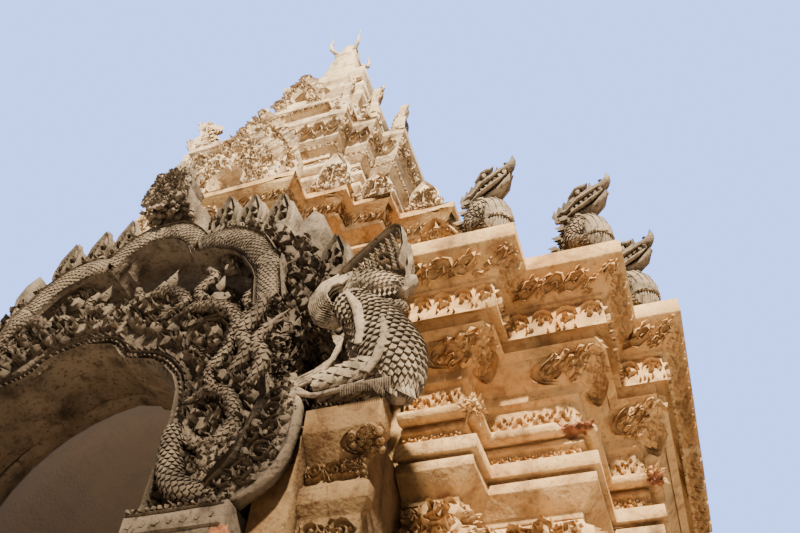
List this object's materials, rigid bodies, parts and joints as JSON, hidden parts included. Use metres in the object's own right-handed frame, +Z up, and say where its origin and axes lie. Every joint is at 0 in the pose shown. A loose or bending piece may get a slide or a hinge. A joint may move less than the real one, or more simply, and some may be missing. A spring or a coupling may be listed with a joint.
{
  "type": "temple gate",
  "caption": "Brick and stucco temple gate with redented walls, arched pediments over a passage, sea beasts, corner guardians and a stepped tower roof.",
  "frame": {"origin": "centre of the gate's footprint at ground level", "axes": "+X to the right seen from the front, +Y through the passage away from the front, +Z up"},
  "size_m": [6.22, 4.33, 12.0625],
  "materials": {
    "warm_stucco": "sunlit ochre lime stucco, matte, stained in the corners",
    "pale_stucco": "pale cream lime stucco, matte, bleached at the top",
    "weathered_stucco": "grey-brown weathered stucco, matte, with dark lichen"
  },
  "bodies": {
    "root": {"back_arch": "weathered_stucco", "back_left_guardians": "weathered_stucco", "back_left_inner_pier": "weathered_stucco", "back_left_outer_pier": "warm_stucco", "back_left_scroll_leaf": "weathered_stucco", "back_left_sea_beast": "weathered_stucco", "back_lower_niche": "pale_stucco", "back_middle_niche": "pale_stucco", "back_pediment": "weathered_stucco", "back_right_guardians": "weathered_stucco", "back_right_inner_pier": "weathered_stucco", "back_right_outer_pier": "warm_stucco", "back_right_scroll_leaf": "weathered_stucco", "back_right_sea_beast": "weathered_stucco", "back_upper_niche": "pale_stucco", "finial": "pale_stucco", "first_cornice": "warm_stucco", "first_storey": "warm_stucco", "fourth_storey": "pale_stucco", "front_arch": "weathered_stucco", "front_left_guardians": "weathered_stucco", "front_left_inner_pier": "weathered_stucco", "front_left_outer_pier": "warm_stucco", "front_left_scroll_leaf": "weathered_stucco", "front_left_sea_beast": "weathered_stucco", "front_lower_niche": "pale_stucco", "front_middle_niche": "pale_stucco", "front_pediment": "weathered_stucco", "front_right_guardians": "weathered_stucco", "front_right_inner_pier": "weathered_stucco", "front_right_outer_pier": "warm_stucco", "front_right_scroll_leaf": "weathered_stucco", "front_right_sea_beast": "weathered_stucco", "front_upper_niche": "pale_stucco", "left_cornice": "warm_stucco", "left_plinth": "warm_stucco", "left_wall": "warm_stucco", "passage_vault": "warm_stucco", "right_cornice": "warm_stucco", "right_plinth": "warm_stucco", "right_wall": "warm_stucco", "second_cornice": "pale_stucco", "second_storey": "pale_stucco", "spire": "pale_stucco", "third_storey": "pale_stucco"}
  },
  "joints": []
}
